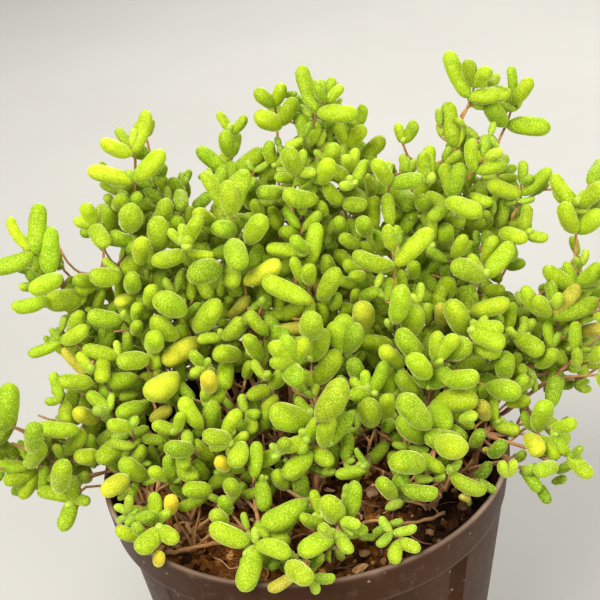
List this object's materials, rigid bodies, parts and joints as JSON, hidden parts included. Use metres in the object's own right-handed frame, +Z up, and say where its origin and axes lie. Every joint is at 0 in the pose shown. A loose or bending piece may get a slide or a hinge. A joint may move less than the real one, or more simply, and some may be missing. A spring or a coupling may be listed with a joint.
{
  "type": "potted drosanthemum",
  "caption": "Drosanthemum ice plant with fat finger-shaped green leaves on thin forked stems, growing from potting soil in a round tapered plastic nursery pot.",
  "frame": {"origin": "middle of the pot's underside, on the surface it stands on", "axes": "+Z up along the pot's axis, -Y towards the viewer's side of the picture, +X to the right of it"},
  "size_m": [0.1153, 0.0906, 0.1199],
  "materials": {
    "pot": "satin",
    "soil": "rough",
    "plant": "matte",
    "dry_stem": "matte",
    "bark": "rough",
    "fallen_leaf": "matte"
  },
  "bodies": {
    "root": {"bark_chip_1": "bark", "bark_chip_2": "bark", "bark_chip_3": "bark", "bark_chip_4": "bark", "dry_stem_1": "dry_stem", "dry_stem_2": "dry_stem", "dry_stem_3": "dry_stem", "dry_stem_4": "dry_stem", "fallen_leaf_1": "fallen_leaf", "fallen_leaf_2": "fallen_leaf", "leafy_stem_01": "plant", "leafy_stem_02": "plant", "leafy_stem_03": "plant", "leafy_stem_04": "plant", "leafy_stem_05": "plant", "leafy_stem_06": "plant", "leafy_stem_07": "plant", "leafy_stem_08": "plant", "leafy_stem_09": "plant", "leafy_stem_10": "plant", "leafy_stem_11": "plant", "leafy_stem_12": "plant", "leafy_stem_13": "plant", "leafy_stem_14": "plant", "leafy_stem_15": "plant", "leafy_stem_16": "plant", "leafy_stem_17": "plant", "leafy_stem_18": "plant", "leafy_stem_19": "plant", "leafy_stem_20": "plant", "leafy_stem_21": "plant", "leafy_stem_22": "plant", "leafy_stem_23": "plant", "leafy_stem_24": "plant", "leafy_stem_25": "plant", "leafy_stem_26": "plant", "leafy_stem_27": "plant", "leafy_stem_28": "plant", "leafy_stem_29": "plant", "leafy_stem_30": "plant", "leafy_stem_31": "plant", "leafy_stem_32": "plant", "leafy_stem_33": "plant", "leafy_stem_34": "plant", "leafy_stem_35": "plant", "leafy_stem_36": "plant", "leafy_stem_37": "plant", "leafy_stem_38": "plant", "leafy_stem_39": "plant", "leafy_stem_40": "plant", "leafy_stem_41": "plant", "leafy_stem_42": "plant", "leafy_stem_43": "plant", "leafy_stem_44": "plant", "pot": "pot", "potting_soil": "soil"}
  },
  "joints": []
}
